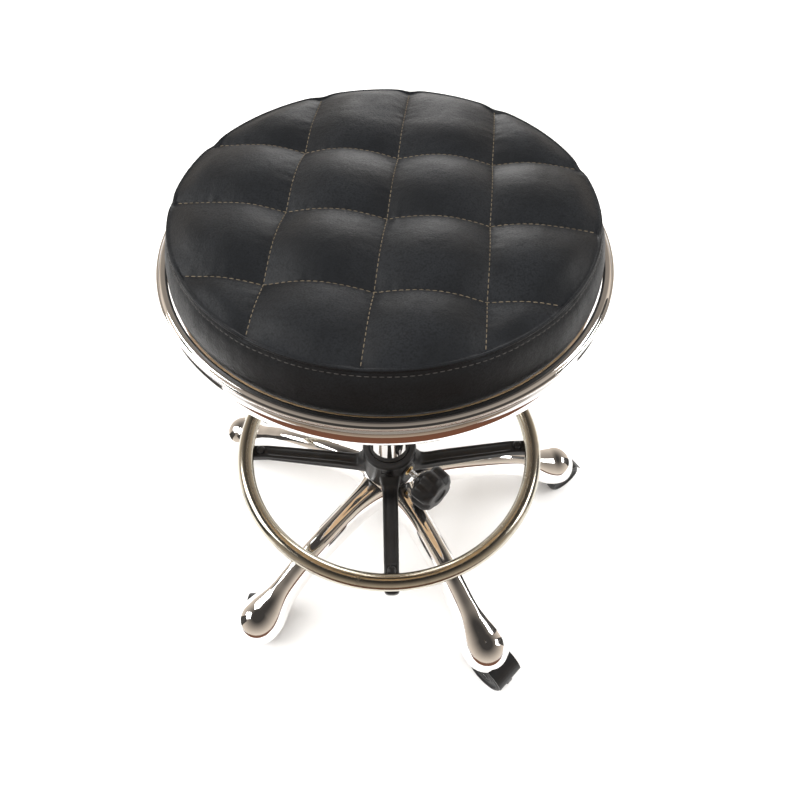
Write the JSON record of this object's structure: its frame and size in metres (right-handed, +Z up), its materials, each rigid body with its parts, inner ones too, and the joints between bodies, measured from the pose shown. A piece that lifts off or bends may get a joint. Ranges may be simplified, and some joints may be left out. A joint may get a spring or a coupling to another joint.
{
  "type": "adjustable swivel stool",
  "caption": "Round quilted stool on a gas lift, with a chrome seat band, a clamped foot ring and a chrome star base on casters.",
  "frame": {"origin": "on the floor, under the column's axis", "axes": "+Z up along the column; -Y is the side with the clamp knob between -Y and +X; the release lever points along +Y"},
  "size_m": [0.5222, 0.535, 0.5568],
  "materials": {
    "chrome": "polished",
    "foot_tube": "satin, slightly warm",
    "black_plastic": "moulded, fine grain",
    "nylon": "matte",
    "caster_tread": "matte",
    "steel": "ground",
    "zinc": "bright zinc plate",
    "brass": "machined",
    "plywood": "raw birch plywood",
    "black_steel": "powder coated",
    "faux_leather": "soft grained, semi matte"
  },
  "bodies": {
    "base": {"base_star": "chrome", "outer_column": "chrome", "guide_bush": "nylon", "thrust_bearing": "steel", "caster_1_stem": "zinc", "caster_2_stem": "zinc", "caster_3_stem": "zinc", "caster_4_stem": "zinc", "caster_5_stem": "zinc"},
    "lift_rod": {"piston_rod": "steel", "piston": "nylon", "bearing_washer": "steel", "retaining_clip": "steel"},
    "seat": {"lift_tube": "chrome", "rod_seal": "nylon", "taper_socket": "black_steel", "mounting_plate": "black_steel", "lever_pin": "steel", "seat_board": "plywood", "seat_ring": "chrome", "cushion": "faux_leather", "seat_bolt_1": "zinc", "seat_bolt_2": "zinc", "seat_bolt_3": "zinc", "seat_bolt_4": "zinc"},
    "release_lever": {"lever_rod": "zinc", "lever_grip": "black_plastic"},
    "valve_pin": {"release_pin": "steel"},
    "ring_collar": {"hub_liner": "nylon"},
    "foot_ring": {"foot_ring_hub": "black_plastic", "foot_ring_tube": "foot_tube", "threaded_insert": "brass", "spoke_screw_1": "zinc", "spoke_screw_2": "zinc", "spoke_screw_3": "zinc", "spoke_screw_4": "zinc"},
    "clamp_feed": {"clamp_shoe": "brass"},
    "clamp_knob": {"knob": "black_plastic", "knob_stud": "zinc"},
    "caster_1": {"caster_1_housing": "black_plastic", "caster_1_axle": "zinc"},
    "caster_1_left": {"caster_1_wheel_left": "caster_tread"},
    "caster_1_right": {"caster_1_wheel_right": "caster_tread"},
    "caster_2": {"caster_2_housing": "black_plastic", "caster_2_axle": "zinc"},
    "caster_2_left": {"caster_2_wheel_left": "caster_tread"},
    "caster_2_right": {"caster_2_wheel_right": "caster_tread"},
    "caster_3": {"caster_3_housing": "black_plastic", "caster_3_axle": "zinc"},
    "caster_3_left": {"caster_3_wheel_left": "caster_tread"},
    "caster_3_right": {"caster_3_wheel_right": "caster_tread"},
    "caster_4": {"caster_4_housing": "black_plastic", "caster_4_axle": "zinc"},
    "caster_4_left": {"caster_4_wheel_left": "caster_tread"},
    "caster_4_right": {"caster_4_wheel_right": "caster_tread"},
    "caster_5": {"caster_5_housing": "black_plastic", "caster_5_axle": "zinc"},
    "caster_5_left": {"caster_5_wheel_left": "caster_tread"},
    "caster_5_right": {"caster_5_wheel_right": "caster_tread"}
  },
  "joints": [
    {"name": "seat_swivel", "type": "hinge", "parent": "base", "child": "lift_rod", "pos_m": [0, 0, 0.083], "axis": [0, 0, 1], "continuous": true},
    {"name": "seat_height", "type": "slide", "parent": "lift_rod", "child": "seat", "axis": [0, 0, 1], "range_m": [-0.1, 0.04]},
    {"name": "lever_lift", "type": "hinge", "parent": "seat", "child": "release_lever", "pos_m": [0, 0.032, 0.4803], "axis": [1, 0, 0], "range_deg": [0, 5], "stiffness_Nm_per_rad": 2},
    {"name": "valve_press", "type": "slide", "parent": "seat", "child": "valve_pin", "axis": [0, 0, 1], "range_m": [-0.004, 0]},
    {"name": "ring_height", "type": "slide", "parent": "base", "child": "ring_collar", "axis": [0, 0, 1], "range_m": [0, 0.1]},
    {"name": "ring_turn", "type": "hinge", "parent": "ring_collar", "child": "foot_ring", "pos_m": [0, 0, 0.1625], "axis": [0, 0, 1], "continuous": true},
    {"name": "clamp_feed", "type": "slide", "parent": "foot_ring", "child": "clamp_feed", "axis": [0.7071, -0.7071, 0], "range_m": [0, 0.0025]},
    {"name": "knob_turn", "type": "hinge", "parent": "clamp_feed", "child": "clamp_knob", "pos_m": [0, 0, 0.1655], "axis": [0.7071, -0.7071, 0], "range_deg": [0, 720]},
    {"name": "caster_1_swivel", "type": "hinge", "parent": "base", "child": "caster_1", "pos_m": [0.23402, 0.04168, 0.045], "axis": [0, 0, 1], "continuous": true},
    {"name": "caster_1_left_roll", "type": "hinge", "parent": "caster_1", "child": "caster_1_left", "pos_m": [0.24928, 0.05122, 0.025], "axis": [-0.5299, 0.848, 0], "continuous": true},
    {"name": "caster_1_right_roll", "type": "hinge", "parent": "caster_1", "child": "caster_1_right", "pos_m": [0.24928, 0.05122, 0.025], "axis": [-0.5299, 0.848, 0], "continuous": true},
    {"name": "caster_2_swivel", "type": "hinge", "parent": "base", "child": "caster_2", "pos_m": [0.03267, 0.23544, 0.045], "axis": [0, 0, 1], "continuous": true},
    {"name": "caster_2_left_roll", "type": "hinge", "parent": "caster_2", "child": "caster_2_left", "pos_m": [0.04167, 0.25103, 0.025], "axis": [-0.866, 0.5, 0], "continuous": true},
    {"name": "caster_2_right_roll", "type": "hinge", "parent": "caster_2", "child": "caster_2_right", "pos_m": [0.04167, 0.25103, 0.025], "axis": [-0.866, 0.5, 0], "continuous": true},
    {"name": "caster_3_swivel", "type": "hinge", "parent": "base", "child": "caster_3", "pos_m": [-0.21382, 0.10383, 0.045], "axis": [0, 0, 1], "continuous": true},
    {"name": "caster_3_left_roll", "type": "hinge", "parent": "caster_3", "child": "caster_3_left", "pos_m": [-0.20917, 0.12121, 0.025], "axis": [-0.9659, 0.2588, 0], "continuous": true},
    {"name": "caster_3_right_roll", "type": "hinge", "parent": "caster_3", "child": "caster_3_right", "pos_m": [-0.20917, 0.12121, 0.025], "axis": [-0.9659, 0.2588, 0], "continuous": true},
    {"name": "caster_4_swivel", "type": "hinge", "parent": "base", "child": "caster_4", "pos_m": [-0.16482, -0.17128, 0.045], "axis": [0, 0, 1], "continuous": true},
    {"name": "caster_4_left_roll", "type": "hinge", "parent": "caster_4", "child": "caster_4_left", "pos_m": [-0.16545, -0.15329, 0.025], "axis": [-0.9994, -0.0349, 0], "continuous": true},
    {"name": "caster_4_right_roll", "type": "hinge", "parent": "caster_4", "child": "caster_4_right", "pos_m": [-0.16545, -0.15329, 0.025], "axis": [-0.9994, -0.0349, 0], "continuous": true},
    {"name": "caster_5_swivel", "type": "hinge", "parent": "base", "child": "caster_5", "pos_m": [0.11196, -0.20968, 0.045], "axis": [0, 0, 1], "continuous": true},
    {"name": "caster_5_left_roll", "type": "hinge", "parent": "caster_5", "child": "caster_5_left", "pos_m": [0.12423, -0.22285, 0.025], "axis": [0.7314, 0.682, 0], "continuous": true},
    {"name": "caster_5_right_roll", "type": "hinge", "parent": "caster_5", "child": "caster_5_right", "pos_m": [0.12423, -0.22285, 0.025], "axis": [0.7314, 0.682, 0], "continuous": true}
  ],
  "couplings": [
    {"joint": "valve_press", "follows": "lever_lift", "m_per_rad": -0.0355},
    {"joint": "clamp_feed", "follows": "knob_turn", "m_per_rad": 0.000199}
  ]
}
